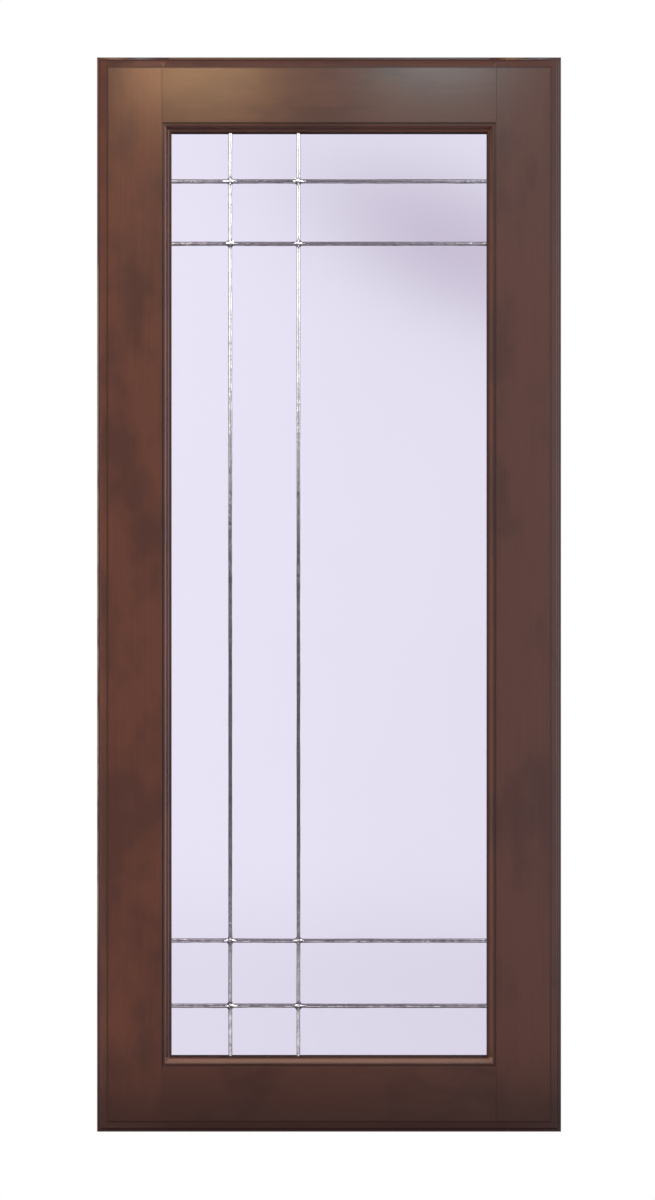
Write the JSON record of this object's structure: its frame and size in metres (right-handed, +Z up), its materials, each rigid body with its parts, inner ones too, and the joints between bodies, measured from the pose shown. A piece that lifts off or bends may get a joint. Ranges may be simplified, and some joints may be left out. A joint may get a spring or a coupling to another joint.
{
  "type": "glazed door",
  "caption": "Framed cabinet door in stained hardwood, with a moulded edge and a leaded panel of clear glass whose border pattern sits off centre.",
  "frame": {"origin": "on the back face of the left stile, on the hinge line 22.5 mm in from its outer edge, at half the door's height", "axes": "+Z up along the stiles, +Y out of the back of the door, +X to the right as seen from the front"},
  "size_m": [0.396, 0.022, 0.917],
  "materials": {
    "frame_wood": "satin lacquer over a dark red-brown stain",
    "bead_wood": "stained, thinly lacquered",
    "clear_glass": "clear, with a faint violet cast",
    "came_metal": "rounded, tinned, partly dulled to grey",
    "solder": "bright, as flowed"
  },
  "bodies": {
    "root": {"left_stile": "frame_wood", "right_stile": "frame_wood", "top_rail": "frame_wood", "bottom_rail": "frame_wood", "left_glazing_bead": "bead_wood", "right_glazing_bead": "bead_wood", "top_glazing_bead": "bead_wood", "bottom_glazing_bead": "bead_wood", "pane_bottom_left": "clear_glass", "pane_bottom_middle": "clear_glass", "pane_bottom_right": "clear_glass", "pane_lower_left": "clear_glass", "pane_lower_middle": "clear_glass", "pane_lower_right": "clear_glass", "pane_tall_left": "clear_glass", "pane_tall_middle": "clear_glass", "pane_tall_right": "clear_glass", "pane_upper_left": "clear_glass", "pane_upper_middle": "clear_glass", "pane_upper_right": "clear_glass", "pane_top_left": "clear_glass", "pane_top_middle": "clear_glass", "pane_top_right": "clear_glass", "border_came_left": "came_metal", "border_came_right": "came_metal", "border_came_top": "came_metal", "border_came_bottom": "came_metal", "upright_came_left": "came_metal", "upright_came_right": "came_metal", "cross_came_1_left": "came_metal", "cross_came_1_middle": "came_metal", "cross_came_1_right": "came_metal", "cross_came_2_left": "came_metal", "cross_came_2_middle": "came_metal", "cross_came_2_right": "came_metal", "cross_came_3_left": "came_metal", "cross_came_3_middle": "came_metal", "cross_came_3_right": "came_metal", "cross_came_4_left": "came_metal", "cross_came_4_middle": "came_metal", "cross_came_4_right": "came_metal", "solder_front_1_left": "solder", "solder_front_1_right": "solder", "solder_front_2_left": "solder", "solder_front_2_right": "solder", "solder_front_3_left": "solder", "solder_front_3_right": "solder", "solder_front_4_left": "solder", "solder_front_4_right": "solder", "solder_back_1_left": "solder", "solder_back_1_right": "solder", "solder_back_2_left": "solder", "solder_back_2_right": "solder", "solder_back_3_left": "solder", "solder_back_3_right": "solder", "solder_back_4_left": "solder", "solder_back_4_right": "solder"}
  },
  "joints": []
}
